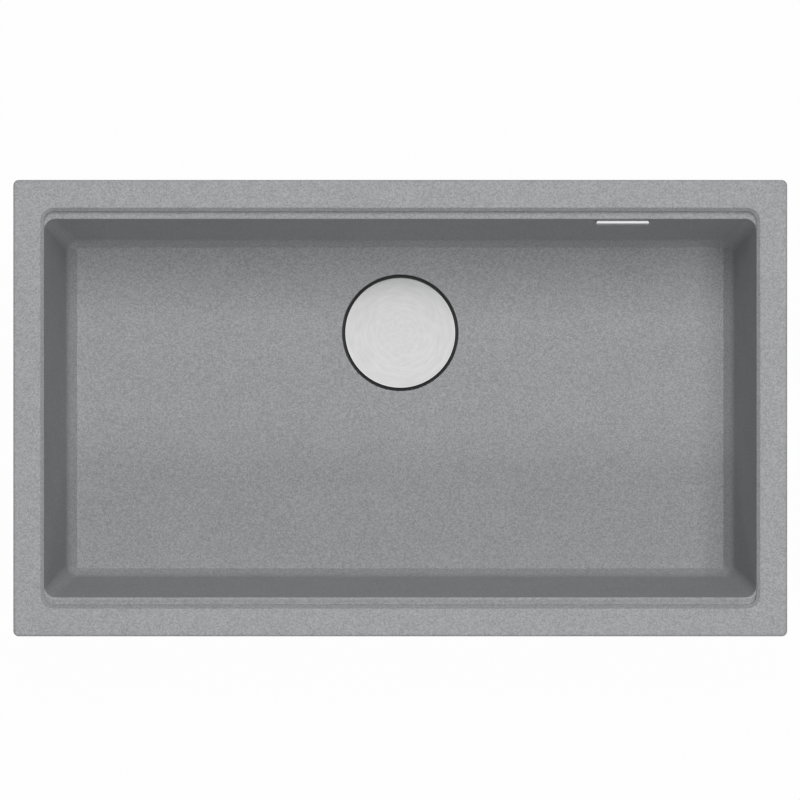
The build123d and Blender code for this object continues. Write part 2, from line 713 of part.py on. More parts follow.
def union_nuts():
    """Fluted nuts that press each seal onto its pipe."""
    reach = UNION_SEAL + UNION_NUT_LIP
    nut = collar(union_nut_r, PIPE_R + PIPE_FIT, -UNION_NUT_COVER, reach)
    nut -= rod(union_r + THREAD_FIT, -UNION_NUT_COVER - CUT, UNION_SEAL)
    flute = Pos(union_nut_r + UNION_FLUTE_R / 2, 0, 0) * rod(
        UNION_FLUTE_R, -UNION_NUT_COVER - CUT, reach - UNION_NUT_LIP / 2
    )
    nut -= PolarLocations(0, UNION_FLUTES) * flute
    return Compound(children=[plane * nut for plane in union_planes().values()])


def union_seals():
    """Rubber rings between each union's mouth and the lip of its nut."""
    seal = collar(union_r, PIPE_R + SEAL_FIT, 0, UNION_SEAL)
    return Compound(children=[plane * seal for plane in union_planes().values()])


ON_DRAIN = (
    waste_flange,
    flange_gasket,
    body_gasket,
    waste_body,
    latch_washer,
    latch_bolt,
    latch_plug,
    latch_plunger,
    latch_spring,
    basket_stopper,
    basket_post,
    basket_nut,
    strainer_basket,
    drain_cover,
    cover_socket,
)
IN_PLACE = (
    sink_bowl,
    overflow_cover,
    overflow_gasket,
    overflow_housing,
    overflow_screw,
    overflow_drop_pipe,
    overflow_bend,
    overflow_run_pipe,
    union_nuts,
    union_seals,
)

os.makedirs("parts", exist_ok=True)
for make in IN_PLACE:
    export_step(make(), f"parts/{make.__name__}.step")
for make in ON_DRAIN:
    export_step(Pos(0, drain_y, 0) * make(), f"parts/{make.__name__}.step")
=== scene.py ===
import math
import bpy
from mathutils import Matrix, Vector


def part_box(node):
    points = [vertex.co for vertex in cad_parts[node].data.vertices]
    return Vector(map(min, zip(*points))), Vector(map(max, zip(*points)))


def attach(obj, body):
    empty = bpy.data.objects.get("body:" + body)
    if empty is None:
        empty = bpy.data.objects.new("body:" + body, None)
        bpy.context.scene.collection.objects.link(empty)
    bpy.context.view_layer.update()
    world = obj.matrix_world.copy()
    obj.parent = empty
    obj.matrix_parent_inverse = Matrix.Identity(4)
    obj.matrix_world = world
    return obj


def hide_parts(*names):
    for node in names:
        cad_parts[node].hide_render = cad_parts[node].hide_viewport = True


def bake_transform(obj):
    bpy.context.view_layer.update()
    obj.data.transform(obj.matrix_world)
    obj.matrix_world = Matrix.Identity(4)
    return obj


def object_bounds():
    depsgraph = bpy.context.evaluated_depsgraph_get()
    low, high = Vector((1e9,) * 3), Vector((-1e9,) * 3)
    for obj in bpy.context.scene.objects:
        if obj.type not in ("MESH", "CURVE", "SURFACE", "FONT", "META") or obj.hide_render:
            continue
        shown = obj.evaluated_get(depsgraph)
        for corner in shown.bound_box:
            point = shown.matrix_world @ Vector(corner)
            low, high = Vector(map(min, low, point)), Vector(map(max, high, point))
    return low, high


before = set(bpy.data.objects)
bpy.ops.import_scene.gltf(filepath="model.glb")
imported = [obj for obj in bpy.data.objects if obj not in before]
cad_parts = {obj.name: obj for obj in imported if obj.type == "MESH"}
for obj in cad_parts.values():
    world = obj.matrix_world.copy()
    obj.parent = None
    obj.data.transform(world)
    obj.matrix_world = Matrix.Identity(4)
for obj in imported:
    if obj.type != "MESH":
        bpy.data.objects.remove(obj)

from types import SimpleNamespace

import bmesh
import bpy
import numpy as np

bl_info = {
    "name": "Granite sink",
    "version": (1, 0, 0),
    "blender": (4, 5, 0),
    "location": "3D View > Sidebar > Sink",
    "description": "Dresses a granite composite sink, its waste and its overflow round the packed CAD frame",
    "category": "Object",
}

CAD_BOX = [list(corner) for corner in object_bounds()]
MM = 0.001
# A row of an outline this close to each edge keeps smooth shading flat between edges.
SUPPORT = 0.6 * MM
# Edges that turn by more than this are shaded sharp.
CREASE = math.radians(38)
# Steps round a corner of an outline, and the angle between the rays from the drain that cut its sides.
CORNER_STEPS = 8
FAN_STEP = math.radians(1.25)
# At the ends, where there is no ledge, the ledges' rows go on down the wall, spread over this height.
END_DROP = 0.3 * MM
# How far the inner edge of the floor's border lies in, in length, width and corner, as shares of its width.
BORDER_INSET = np.array([1, 1, 0.6])
# Where rings lie on the way from the floor's edge to the drain, and from the boss to the cove outside.
FLOOR_SHARES = np.array([0.02, 0.2, 0.4, 0.6, 0.8, 0.93, 0.99])[:, None, None]
UNDER_SHARES = np.array([0.01, 0.1, 0.35, 0.65, 0.9, 0.99])[:, None, None]
SLOT_STEPS = 48
COVER_STEPS = 240
# Steps in a turn of the outlet's thread, its start above the outlet's end, and the outlet's plain length.
THREAD_STEPS = 64
THREAD_START = 2.6 * MM
THREAD_PLAIN = 5.0 * MM
# How far the thread's foot lies inside the outlet, and the heights of its corners as shares of the pitch.
THREAD_FOOT = -0.3 * MM
THREAD_CORNERS = np.array([-0.40, -0.36, -0.08, 0.08, 0.36, 0.40])
LAMP_DISTANCE = 4.0
# Each softbox's tilt to the right and to the back in degrees, size in metres and setting of its light.
SOFTBOXES = {
    "back_softbox": ((0.0, 18.0), (0.6, 1.6), "back_light"),
    "right_softbox": ((15.0, 0.0), (1.4, 0.6), "right_light"),
    "front_softbox": ((0.0, -40.0), (1.0, 0.8), "front_light"),
    "low_softbox": ((0.0, 50.0), (1.0, 0.8), "low_light"),
}
FLOOR_HALF = 8.0
FLOOR_GAP = 0.4 * MM
WHITE = (1.0, 1.0, 1.0, 1.0)
FLOOR_GREY = (0.5, 0.5, 0.5, 1.0)

_, bowl_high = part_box("sink_bowl")
cover_low, cover_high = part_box("drain_cover")
body_low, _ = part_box("waste_body")
strip_low, strip_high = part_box("overflow_cover")
DRAIN = np.array([0.0, (cover_low.y + cover_high.y) / 2])


def span_mm(name, millimetres, description):
    """A length that the panel shows in the scene's unit."""
    return bpy.props.FloatProperty(
        name=name, description=description, default=millimetres * MM, unit="LENGTH", precision=5
    )


def tilt(name, degrees, description):
    """An angle that the panel shows in degrees."""
    return bpy.props.FloatProperty(
        name=name, description=description, default=math.radians(degrees), subtype="ANGLE"
    )


def tint(name, red, green, blue, description):
    """A scene-linear colour."""
    return bpy.props.FloatVectorProperty(
        name=name,
        description=description,
        default=(red, green, blue),
        subtype="COLOR",
        min=0.0,
        max=1.0,
    )


def amount(name, value, description):
    """A plain number."""
    return bpy.props.FloatProperty(name=name, description=description, default=value, precision=4)


class SinkSizes(bpy.types.PropertyGroup):
    """Sizes of the casting, the cover and the outlet's thread."""

    rim_corner: span_mm("Rim corner", 5.5, "Radius of the rim's corners")
    rim_top_edge: span_mm("Rim top edge", 2.5, "Rounding of the rim's upper edge")
    rim_lower_edge: span_mm("Rim lower edge", 1.0, "Rounding of the rim's lower edge")
    deck_end: span_mm("Deck end", 30.75, "Width of the rim at both ends")
    deck_side: span_mm("Deck side", 31.5, "Width of the rim at front and back")
    opening_corner: span_mm("Opening corner", 10.0, "Radius of the opening's corners")
    opening_bevel: span_mm("Opening bevel", 3.6, "Width of the bevel from the rim into the opening")
    opening_bevel_depth: span_mm("Opening bevel depth", 4.6, "Depth of the opening's bevel")
    opening_bevel_edge: span_mm("Opening bevel edge", 0.5, "Rounding of the opening's bevel at both edges")
    ledge_depth: span_mm("Ledge depth", 12.0, "Depth of the ledges under the rim")
    ledge_width: span_mm("Ledge width", 7.5, "Width of the ledges")
    ledge_thickness: span_mm("Ledge thickness", 8.0, "Stone under the ledges")
    ledge_edge: span_mm("Ledge edge", 0.6, "Rounding of the ledges' inner edge")
    ledge_root: span_mm("Ledge root", 1.5, "Rounding in the corner behind the ledges")
    bowl_depth: span_mm("Bowl depth", 210.0, "Depth from the rim to the floor's edge")
    end_draft: tilt("End draft", 4.45, "Lean of the end walls")
    side_draft: tilt("Side draft", 5.15, "Lean of the front and back walls")
    bowl_corner: span_mm("Bowl corner", 11.0, "Radius of the bowl's upright corners")
    bowl_bevel: span_mm("Bowl bevel", 8.5, "Width of the bevel from the walls into the floor")
    bowl_bevel_height: span_mm("Bowl bevel height", 16.0, "Height of the bowl's bevel along the walls")
    bowl_bevel_head: span_mm("Bowl bevel head", 36.0, "Rounding between the walls and the bowl's bevel")
    bowl_bevel_foot: span_mm("Bowl bevel foot", 0.6, "Rounding between the bowl's bevel and the floor")
    bevel_narrowing: span_mm("Bevel narrowing", 1.8, "What the bowl's bevel lacks in width at front and back")
    wall: span_mm("Wall", 9.0, "Thickness of the bowl's walls")
    floor_thickness: span_mm("Floor thickness", 10.0, "Thickness of the floor at the drain")
    floor_fall: span_mm("Floor fall", 2.0, "Fall of the floor to the drain")
    floor_border: span_mm("Floor border", 0.5, "Flat strip between the bevel and the fall")
    outer_corner: span_mm("Outer corner", 18.0, "Radius of the upright corners outside")
    outer_cove: span_mm("Outer cove", 15.0, "Rounding of the lower edge outside")
    well_radius: span_mm("Well radius", 60.5, "Radius of the recess round the drain")
    well_depth: span_mm("Well depth", 9.0, "Depth of the recess round the drain")
    well_edge: span_mm("Well edge", 0.5, "Rounding of the recess's upper edge")
    hole_radius: span_mm("Hole radius", 45.0, "Radius of the drain hole")
    drain_land: span_mm("Drain land", 14.0, "Width of the boss beyond the recess")
    boss_edge: span_mm("Boss edge", 2.0, "Rounding of the boss under the floor")
    hole_edge: span_mm("Hole edge", 0.8, "Rounding of the drain hole's edges")
    well_root: span_mm("Well root", 0.25, "Rounding round the recess's bottom")
    step_edge: span_mm("Step edge", 1.5, "Rounding of the steps under the rim")
    slot_length: span_mm("Slot length", 62.0, "Length of the overflow slot")
    slot_height: span_mm("Slot height", 10.0, "Height of the overflow slot")
    slot_edge: span_mm("Slot edge", 1.0, "Rounding of the overflow slot's edge")
    cover_dome: span_mm("Cover dome", 2.0, "Rise of the drain cover from its edge to its crown")
    cover_crown: span_mm("Cover crown", 27.0, "Radius of the drain cover's flat crown")
    cover_sheet: span_mm("Cover sheet", 1.2, "Sheet thickness of the drain cover")
    cover_edge: span_mm("Cover edge", 0.6, "Rounding of the drain cover's edge")
    # Beyond this radius the drain cover is smoother, which is real polish, and painted lighter, which is a
    # painted highlight on its edge.
    cover_polish_highlight: span_mm("Cover shine", 56.5, "Radius beyond which the drain cover is polished")
    thread_pitch: span_mm("Thread pitch", 2.309, "Rise of the outlet's thread in one turn")
    thread_height: span_mm("Thread height", 0.45, "Height of the outlet's thread")
    outlet_radius: span_mm("Outlet radius", 23.9, "Outer radius of the waste outlet")
    outlet_length: span_mm("Outlet length", 27.0, "Length of the waste outlet")


class SinkColours(bpy.types.PropertyGroup):
    """Colours and grain of the finishes."""

    stone_dark: tint("Stone dark", 0.220, 0.225, 0.231, "Dark grains of the stone")
    stone_light: tint("Stone light", 0.435, 0.442, 0.453, "Light grains of the stone")
    stone_sheen: amount("Stone sheen", 0.06, "Specular level of the stone")
    grain: span_mm("Grain", 1.15, "Size of the stone's grains")
    fine_grain: span_mm("Fine grain", 0.5, "Size of the stone's finest grains")
    cover_steel: tint("Cover steel", 0.73, 0.73, 0.73, "Brushed steel of the drain cover")
    sheet_steel: tint("Sheet steel", 0.56, 0.555, 0.55, "Drawn sheet of flange and strainer")
    turned_steel: tint("Turned steel", 0.58, 0.58, 0.575, "Post, plunger, spring and screw")
    chrome: tint("Chrome", 0.80, 0.80, 0.81, "Overflow strip")
    brass: tint("Brass", 0.66, 0.46, 0.20, "Latch bolt and plug")
    rubber: tint("Rubber", 0.042, 0.042, 0.044, "Gaskets, seals and stopper")
    white_plastic: tint("White plastic", 0.72, 0.72, 0.70, "Waste body and overflow pipes")
    grey_plastic: tint("Grey plastic", 0.22, 0.225, 0.235, "Union nuts and cover socket")


class SinkStage(bpy.types.PropertyGroup):
    """Camera and light."""

    camera_height: span_mm("Camera height", 7000.0, "Height of the camera over the rim")
    camera_across: span_mm("Camera across", -0.26, "Camera's place along the sink")
    camera_back: span_mm("Camera back", 8.2, "Camera's place towards the back")
    lens: amount("Lens", 312.6, "Focal length in millimetres")
    ambient: amount("Ambient", 0.10, "Light from all round")
    back_light: amount("Back light", 0.53, "Share of the light that the softbox over the back gives")
    right_light: amount("Right light", 0.24, "Share of the light that the softbox over the right gives")
    low_light: amount("Low light", 0.11, "Share of the light that the low softbox behind the back gives")
    front_light: amount("Front light", 0.235, "Share of the light that the softbox before the front gives")
    floor_white: amount("Floor white", 0.98, "Share of plain white in the floor that the camera sees")


def settings():
    """Sizes, colours and stage of this scene."""
    scene = bpy.context.scene
    return scene.sink_sizes, scene.sink_colours, scene.sink_stage


def grid_faces(rows, columns, close_rows):
    """Quads of a grid whose columns close in a loop, and whose rows do too if asked."""
    row = np.arange(rows if close_rows else rows - 1)[:, None]
    column = np.arange(columns)[None, :]
    ahead = (row + 1) % rows
    beside = (column + 1) % columns
    here, after = row * columns, ahead * columns
    corners = np.broadcast_arrays(here + column, here + beside, after + beside, after + column)
    return np.stack(corners, axis=-1).reshape(-1, 4)


def end_faces(points):
    """Faces that close the first and the last row of a grid."""
    rows, columns = points.shape[:2]
    return [list(range(columns)), list(range((rows - 1) * columns, rows * columns))]


def signed_volume(points, quads):
    """Volume inside quads, each cut into two triangles: positive where faces point outwards."""
    triangles = np.concatenate([quads[:, [0, 1, 2]], quads[:, [0, 2, 3]]])
    first, second, third = (points[triangles[:, i]] for i in range(3))
    return np.einsum("ij,ij->", first, np.cross(second, third)) / 6


def turn_outwards(mesh):
    """Turns every face of a closed mesh outwards."""
    work = bmesh.new()
    work.from_mesh(mesh)
    bmesh.ops.recalc_face_normals(work, faces=work.faces)
    work.to_mesh(mesh)
    work.free()


def shade(mesh):
    """Shades a mesh smooth but for its sharp edges."""
    mesh.shade_smooth()
    mesh.set_sharp_from_angle(angle=CREASE)


def place_object(name, data):
    """New object of the scene."""
    placed = bpy.data.objects.new(name, data)
    bpy.context.scene.collection.objects.link(placed)
    return placed


def new_piece(name, points, quads, extra=()):
    """Mesh object from points, quads and extra faces that close it, turned outwards and shaded."""
    points = points.reshape(-1, 3)
    faces = quads if signed_volume(points, quads) > 0 else quads[:, ::-1]
    mesh = bpy.data.meshes.new(name)
    mesh.from_pydata(points, [], [*faces.tolist(), *extra])
    mesh.validate()
    if extra:
        turn_outwards(mesh)
    shade(mesh)
    mesh.update()
    return place_object(name, mesh)


def fillet_rows(centre, radius, start, end, steps, along=(1, 1, 1)):
    """Rows of a rounded edge: the centre outline moved out by radius times the cosine of an angle and up by
    its sine, as the angle goes from start to end. along says which of length, width and corner move."""
    angle = np.radians(np.linspace(start, end, steps + 1))
    out = radius * np.cos(angle)
    rows = np.tile(np.array([*centre, 0.0]), (steps + 1, 1))
    for column, share in enumerate(along):
        rows[:, column] += share * out
    rows[:, 3] += radius * np.sin(angle)
    return rows


def support_share(reach):
    """Where the rows near both ends of a run lie, as a share of its reach."""
    return min(SUPPORT / max(reach, SUPPORT), 0.25)


def join_rows(sections):
    """One array from sections of rows, each with a count of steps to the next one. Between two sections lie
    rows near both ends and rows at even steps."""
    joined = [sections[0][0]]
    for (before, steps), (after, _) in zip(sections, sections[1:]):
        edge = support_share(np.abs(after[0] - before[-1])[[0, 1, 3]].max())
        share = np.concatenate([[edge], np.linspace(0, 1, steps + 1)[1:-1], [1 - edge]])[:, None]
        joined += [before[-1] + share * (after[0] - before[-1]), after]
    return np.concatenate(joined)


def outline(rows, shares):
    """Rounded rectangles, one ring for each row of half length, half width, corner, height and end drop.
    A corner is an arc about the point (half length - corner, half width - corner). A straight side is the run
    between two arcs, cut at the given shares. The height falls by the end drop towards the two ends."""
    half_x, half_y, corner, height, drop = (rows[:, i, None] for i in range(5))
    quarter = np.linspace(0, math.pi / 2, CORNER_STEPS + 1)
    arcs = []
    for index, (side_x, side_y) in enumerate(((1, 1), (-1, 1), (-1, -1), (1, -1))):
        turn = quarter + index * math.pi / 2
        x = side_x * (half_x - corner) + corner * np.cos(turn)
        y = side_y * (half_y - corner) + corner * np.sin(turn)
        arcs.append(np.stack([x, y, height - drop * np.cos(turn) ** 2], axis=-1))
    loops = []
    for index, share in enumerate(shares):
        start = arcs[index][:, -1:]
        end = arcs[(index + 1) % 4][:, :1]
        loops += [arcs[index], start + share[None, :, None] * (end - start)]
    return np.concatenate(loops, axis=1)


def fan_shares(row):
    """Shares that cut each side of an outline where rays from the drain, at even angles, meet it."""
    corners = outline(row[None], [np.zeros(0)] * 4)[0, :, :2].reshape(4, -1, 2)
    shares = []
    for index in range(4):
        start = corners[index, -1]
        run = corners[(index + 1) % 4, 0] - start
        first = math.atan2(*(start - DRAIN)[::-1])
        last = math.atan2(*(start + run - DRAIN)[::-1])
        turn = (last - first) % (2 * math.pi)
        angle = first + np.linspace(0, turn, round(turn / FAN_STEP) + 1)[1:-1]
        ray = np.stack([np.cos(angle), np.sin(angle)])
        to_start = start - DRAIN
        share = -(ray[0] * to_start[1] - ray[1] * to_start[0]) / (ray[0] * run[1] - ray[1] * run[0])
        edge = SUPPORT / np.linalg.norm(run)
        inside = share[(share > 2 * edge) & (share < 1 - 2 * edge)]
        shares.append(np.concatenate([[edge], inside, [1 - edge]]))
    return shares


def ring_arc(radius, height, edge, start, end, steps):
    """Radius and height along a rounded edge turned about the drain."""
    angle = np.radians(np.linspace(start, end, steps + 1))
    return np.stack([radius + edge * np.cos(angle), height + edge * np.sin(angle)], axis=-1)


def join_profile(sections):
    """Radius and height of rounded edges, with one more point close to each end of the runs between them."""
    joined = [sections[0]]
    for before, after in zip(sections, sections[1:]):
        edge = support_share(np.linalg.norm(after[0] - before[-1]))
        share = np.array([edge, 1 - edge])[:, None]
        joined += [before[-1] + share * (after[0] - before[-1]), after]
    return np.concatenate(joined)


def turn_profile(profile, ray):
    """Circles about the drain: for each radius and height of a profile, unit rays times the radius."""
    circles = np.empty((len(profile), len(ray), 3))
    circles[:, :, :2] = DRAIN + profile[:, :1, None] * ray
    circles[:, :, 2] = profile[:, 1:]
    return circles


def bowl_levels(sizes):
    """Heights, half widths and slopes that the casting's surfaces share. The rim's underside is at 0."""
    at = SimpleNamespace()
    at.half_x, at.half_y, at.top = bowl_high
    at.ledge = at.top - sizes.ledge_depth
    at.step = at.ledge - sizes.ledge_thickness
    at.floor = at.top - sizes.bowl_depth
    at.drain = at.floor - sizes.floor_fall
    at.under = at.drain - sizes.floor_thickness
    at.end_slope, at.side_slope = math.tan(sizes.end_draft), math.tan(sizes.side_draft)
    at.draft = (sizes.end_draft + sizes.side_draft) / 2
    at.open_x, at.open_y = at.half_x - sizes.deck_end, at.half_y - sizes.deck_side
    at.bowl_y = at.open_y - sizes.ledge_width
    return at


def ledge_rows(centre, radius, turn, steps, drops):
    """Rows of a rounded edge that only the front and back have, with an end drop that goes evenly from the
    first of drops to the second."""
    rows = fillet_rows(centre, radius, *turn, steps, along=(0, 1, 0))
    rows[:, 4] = np.linspace(*drops, len(rows))
    return rows


def follow_wall(rows, level, slope):
    """Moves the ends of rows in by the slope of the end walls times how far they lie below a level."""
    rows[:, 0] -= np.maximum(level - rows[:, 3] + rows[:, 4], 0) * slope


def bevel_rows(sizes, at):
    """Rows of the rounded head and foot of the bevel between walls and floor. A wall that leans by the draft
    and a bevel of width w, and height h along the wall, slope by atan2(h cos(draft), w + h sin(draft)).
    Arcs of the two radii touch the wall, the bevel and the floor. At front and back the bevel is narrower,
    and its rows move out in step with their way in from the wall."""
    draft, wide, tall = at.draft, sizes.bowl_bevel, sizes.bowl_bevel_height
    head, foot = sizes.bowl_bevel_head, sizes.bowl_bevel_foot
    slope = math.atan2(tall * math.cos(draft), wide + tall * math.sin(draft))
    short = head * math.tan((math.pi / 2 - draft - slope) / 2)
    head_out = tall * math.sin(draft) - short * math.cos(slope) - head * math.sin(slope)
    head_up = tall * math.cos(draft) - short * math.sin(slope) + head * math.cos(slope)
    foot_out = -wide - foot * math.tan(slope / 2)
    depth = at.ledge - at.floor
    base = np.array([at.open_x - depth * at.end_slope, at.bowl_y - depth * at.side_slope, sizes.bowl_corner])
    upright, tilted = -math.degrees(draft), math.degrees(slope) - 90
    wall_foot = fillet_rows((*(base + head_out), at.floor + head_up), head, upright, tilted, 12)
    floor_edge = fillet_rows((*(base + foot_out), at.floor + foot), foot, tilted, -90, 6)
    span = wall_foot[0, 0] - floor_edge[0, 0]
    wall_foot[:, 1] += sizes.bevel_narrowing * (wall_foot[0, 0] - wall_foot[:, 0]) / span
    floor_edge[:, 1] += sizes.bevel_narrowing
    return wall_foot, floor_edge


def inside_rows(sizes, at):
    """Rows from the rim's lower edge over the rim, the opening, the ledges and the walls to the floor."""
    lower, upper, bend = sizes.rim_lower_edge, sizes.rim_top_edge, sizes.opening_bevel_edge
    rim = np.array([at.half_x, at.half_y, sizes.rim_corner])
    rim_foot = fillet_rows((*(rim - lower), lower), lower, -90, 0, 4)
    rim_edge = fillet_rows((*(rim - upper), at.top - upper), upper, 0, 90, 8)

    wide, deep = sizes.opening_bevel, sizes.opening_bevel_depth
    lean = math.atan2(deep, wide)
    turned = 90 + math.degrees(lean)
    over, past = bend * math.tan(lean / 2), bend * math.tan((math.pi / 2 - lean) / 2)
    mouth = np.array([at.open_x, at.open_y, sizes.opening_corner])
    mouth_top = fillet_rows((*(mouth + wide + over), at.top - bend), bend, 90, turned, 3)
    mouth_foot = fillet_rows((*(mouth + bend), at.top - deep - past), bend, turned, 180, 3)

    root, nose = sizes.ledge_root, sizes.ledge_edge
    root_centre = (at.open_x, at.open_y - root, sizes.opening_corner, at.ledge + root)
    ledge_root = ledge_rows(root_centre, root, (0, -90), 5, (0, END_DROP / 3))
    nose_centre = (at.open_x, at.bowl_y + nose, sizes.bowl_corner, at.ledge - nose)
    ledge_nose = ledge_rows(nose_centre, nose, (90, 180), 5, (2 * END_DROP / 3, END_DROP))
    follow_wall(ledge_nose, at.ledge, at.end_slope)

    wall_foot, floor_edge = bevel_rows(sizes, at)
    border = floor_edge[-1:].copy()
    border[:, :3] -= BORDER_INSET * sizes.floor_border
    upper_rows = [(rim_foot, 1), (rim_edge, 1), (mouth_top, 1), (mouth_foot, 1), (ledge_root, 2)]
    return join_rows([*upper_rows, (ledge_nose, 8), (wall_foot, 1), (floor_edge, 1), (border, 1)])


def outside_rows(sizes, at, rim):
    """Rows from the cove under the bowl up the outside walls, past the steps under the ledges, to the rim."""
    soft, cove, corner = sizes.step_edge, sizes.outer_cove, sizes.outer_corner
    end_share, side_share = math.cos(sizes.end_draft), math.cos(sizes.side_draft)
    outer_x = at.open_x + sizes.wall / end_share
    collar_y = at.open_y + sizes.wall / side_share
    outer_y = at.bowl_y + sizes.wall / side_share - sizes.ledge_thickness * at.side_slope
    cove_z = at.under + cove
    cove_x = outer_x - (at.step - cove_z) * at.end_slope - cove / end_share
    cove_y = outer_y - (at.step - cove_z) * at.side_slope - cove / side_share
    cove_rows = fillet_rows((cove_x, cove_y, corner - cove, cove_z), cove, -90, -math.degrees(at.draft), 9)

    root_centre = (outer_x, outer_y + soft, corner, at.step - soft)
    step_root = ledge_rows(root_centre, soft, (180, 90), 4, (END_DROP, 2 * END_DROP / 3))
    follow_wall(step_root, at.step, at.end_slope)
    nose_centre = (outer_x, collar_y - soft, corner, at.step + soft)
    step_nose = ledge_rows(nose_centre, soft, (-90, 0), 4, (END_DROP / 3, 0))
    neck = fillet_rows((outer_x + soft, collar_y + soft, corner + soft, -soft), soft, 180, 90, 4)
    return join_rows([(cove_rows, 6), (step_root, 1), (step_nose, 1), (neck, 2), (rim, 1)])


def drain_profile(sizes, at):
    """Radius and height round the drain: its recess, its hole, and the boss under the floor."""
    rim, root, fine, edge = sizes.well_edge, sizes.well_root, sizes.hole_edge, sizes.boss_edge
    well_r, hole_r = sizes.well_radius, sizes.hole_radius
    boss_r = well_r + sizes.drain_land
    well, boss = at.drain - sizes.well_depth, at.under - sizes.well_depth
    return join_profile(
        [
            ring_arc(well_r + rim, at.drain - rim, rim, 90, 180, 6),
            ring_arc(well_r - root, well + root, root, 0, -90, 3),
            ring_arc(hole_r + fine, well - fine, fine, 90, 180, 3),
            ring_arc(hole_r + fine, boss + fine, fine, 180, 270, 3),
            ring_arc(boss_r - edge, boss + edge, edge, -90, 0, 4),
            ring_arc(boss_r + edge, at.under - edge, edge, 180, 90, 4),
        ]
    )


def granite_bowl(sizes):
    """The casting as one closed surface of rings: rim, opening, ledges, drafted walls, bevel and floor's edge
    as rounded rectangles, the floor's fall as straight lines from there to the drain, the drain as circles,
    then the underside and the outside back up to the rim."""
    at = bowl_levels(sizes)
    inside = inside_rows(sizes, at)
    shares = fan_shares(inside[-1])
    outside = outline(outside_rows(sizes, at, inside[:1])[:-1], shares)
    inside = outline(inside, shares)
    edge = inside[-1]
    ray = edge[:, :2] - DRAIN
    ray = ray / np.linalg.norm(ray, axis=1)[:, None]
    circles = turn_profile(drain_profile(sizes, at), ray)
    floor_rings = edge + FLOOR_SHARES * (circles[0] - edge)
    under_rings = circles[-1] + UNDER_SHARES * (outside[0] - circles[-1])
    rings = np.concatenate([inside, floor_rings, circles, under_rings, outside])
    bowl = new_piece("granite_bowl", rings, grid_faces(len(rings), rings.shape[1], True))
    cut_slot(bowl, sizes, at)
    return bowl


def cut_slot(bowl, sizes, at):
    """Cuts the overflow slot through the back wall. The cutter is a stadium carried along the wall's normal.
    It flares by a quarter circle where it leaves the wall, which rounds the slot's edge."""
    across, middle = (strip_low.x + strip_high.x) / 2, (strip_low.z + strip_high.z) / 2
    place = np.array([across, at.bowl_y - (at.ledge - middle) * at.side_slope, middle])
    inward = np.array([0.0, -math.cos(sizes.side_draft), math.sin(sizes.side_draft)])
    upward = np.array([0.0, math.sin(sizes.side_draft), math.cos(sizes.side_draft)])
    turn = np.linspace(0, 2 * math.pi, SLOT_STEPS, endpoint=False) + math.pi / SLOT_STEPS
    flare = sizes.slot_edge
    sweep = np.linspace(0, math.pi / 2, 5)
    # The cutter starts three flares before the wall's face and ends four behind its back.
    depth = np.concatenate([[-3 * flare], flare * (1 - np.cos(sweep)), [sizes.wall + 4 * flare]])
    grow = np.concatenate([[flare], flare * (1 - np.sin(sweep)), [0.0]])
    half = sizes.slot_height / 2
    radius = half + grow[:, None]
    x = radius * np.cos(turn) + np.sign(np.cos(turn)) * (sizes.slot_length / 2 - half)
    y = radius * np.sin(turn)
    stadium = place + x[..., None] * np.array([1.0, 0, 0]) + y[..., None] * upward
    points = stadium - depth[:, None, None] * inward
    cutter = new_piece("slot_cutter", points, grid_faces(*points.shape[:2], False), end_faces(points))
    bore = bowl.modifiers.new("overflow slot", "BOOLEAN")
    bore.operation = "DIFFERENCE"
    bore.solver = "EXACT"
    bore.object = cutter
    graph = bpy.context.evaluated_depsgraph_get()
    cut = bpy.data.meshes.new_from_object(bowl.evaluated_get(graph))
    bowl.modifiers.remove(bore)
    plain = bowl.data
    bowl.data = cut
    cut.name = plain.name
    bpy.data.meshes.remove(plain)
    bpy.data.objects.remove(cutter)
    shade(cut)


def turned_piece(name, profile, steps):
    """Closed surface turned about the drain from a profile of radius and height that starts and ends on the
    axis. Each point between becomes a circle, and each end a single point with a fan of triangles."""
    turn = np.linspace(0, 2 * math.pi, steps, endpoint=False)
    rings = turn_profile(profile[1:-1], np.stack([np.cos(turn), np.sin(turn)], axis=-1))
    poles = np.array([[*DRAIN, profile[0, 1]], [*DRAIN, profile[-1, 1]]])
    points = np.concatenate([rings.reshape(-1, 3), poles])
    count = len(points) - 2
    here = np.arange(steps)
    beside = (here + 1) % steps
    last = count - steps
    first_fan = np.stack([np.full(steps, count), beside, here], axis=-1)
    last_fan = np.stack([np.full(steps, count + 1), last + here, last + beside], axis=-1)
    fans = [*first_fan.tolist(), *last_fan.tolist()]
    return new_piece(name, points, grid_faces(len(rings), steps, False), fans)


